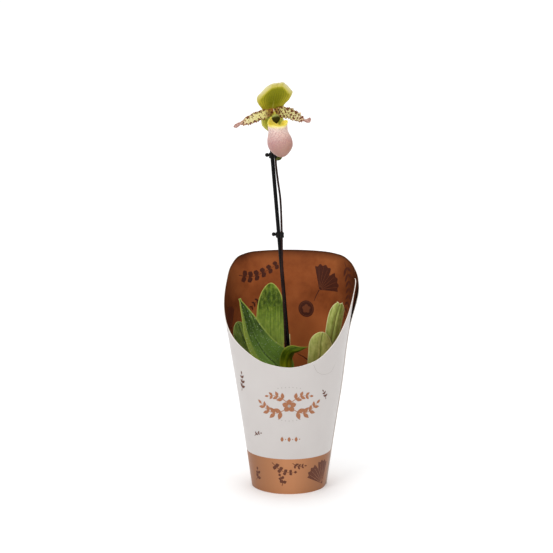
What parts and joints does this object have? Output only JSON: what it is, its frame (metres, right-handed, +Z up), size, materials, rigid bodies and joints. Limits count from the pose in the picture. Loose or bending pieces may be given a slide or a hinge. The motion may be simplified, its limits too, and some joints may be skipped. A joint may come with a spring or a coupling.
{
  "type": "potted slipper orchid in a carton sleeve",
  "caption": "Potted slipper orchid in bloom: strap leaves, staked flower stem with a hooded flower, grow pot with bark, and a tall conical carton sleeve around the pot.",
  "frame": {"origin": "centre of the underside, on the table, on the axis of the sleeve and pot", "axes": "+Z up, the low front edge of the sleeve faces -Y, +X to the right as seen from the front"},
  "size_m": [0.1557, 0.1507, 0.4695],
  "materials": {
    "sleeve_carton": "matt coated, white outside with a copper-brown foot, printed brown inside",
    "pot_plastic": "matt black injection moulded",
    "bark": "rough coarse bark chips",
    "root": "dull green-brown, finely hairy",
    "leaf_mid_green": "satin, mottled lighter and darker green",
    "leaf_dark_green": "satin, faintly mottled dark green",
    "leaf_olive": "satin olive green",
    "leaf_pale_green": "matt pale green with a yellowish margin",
    "scape_skin": "dark purple-brown, softly hairy",
    "bract_skin": "dark green, softly hairy",
    "dorsal_tissue": "satin olive green with a pale cream margin and darker veins",
    "synsepal_tissue": "satin yellow-green with fine veins",
    "petal_tissue": "cream-yellow with maroon spots and a hairy wavy margin",
    "pouch_tissue": "waxy, dull pink with a yellow rim",
    "column_tissue": "pale yellow-green",
    "staminode_tissue": "waxy dark green, paler above",
    "stake_plastic": "glossy black extruded rod",
    "clip_plastic": "satin black moulded"
  },
  "bodies": {
    "root": {"sleeve": "sleeve_carton", "grow_pot": "pot_plastic", "substrate": "bark", "rhizome_and_roots": "root", "leaf_tall": "leaf_mid_green", "leaf_pointed": "leaf_dark_green", "leaf_far_left": "leaf_dark_green", "leaf_curled": "leaf_olive", "leaf_young": "leaf_pale_green", "leaf_broad_right": "leaf_pale_green", "leaf_notched_right": "leaf_pale_green", "leaf_low_back": "leaf_dark_green", "leaf_low_front": "leaf_dark_green", "scape": "scape_skin", "bract": "bract_skin", "bud": "scape_skin", "ovary": "scape_skin", "dorsal_sepal": "dorsal_tissue", "synsepal": "synsepal_tissue", "petal_left": "petal_tissue", "petal_right": "petal_tissue", "pouch": "pouch_tissue", "column": "column_tissue", "staminode": "staminode_tissue", "stake": "stake_plastic", "clip_lower": "clip_plastic", "clip_upper": "clip_plastic"}
  },
  "joints": []
}
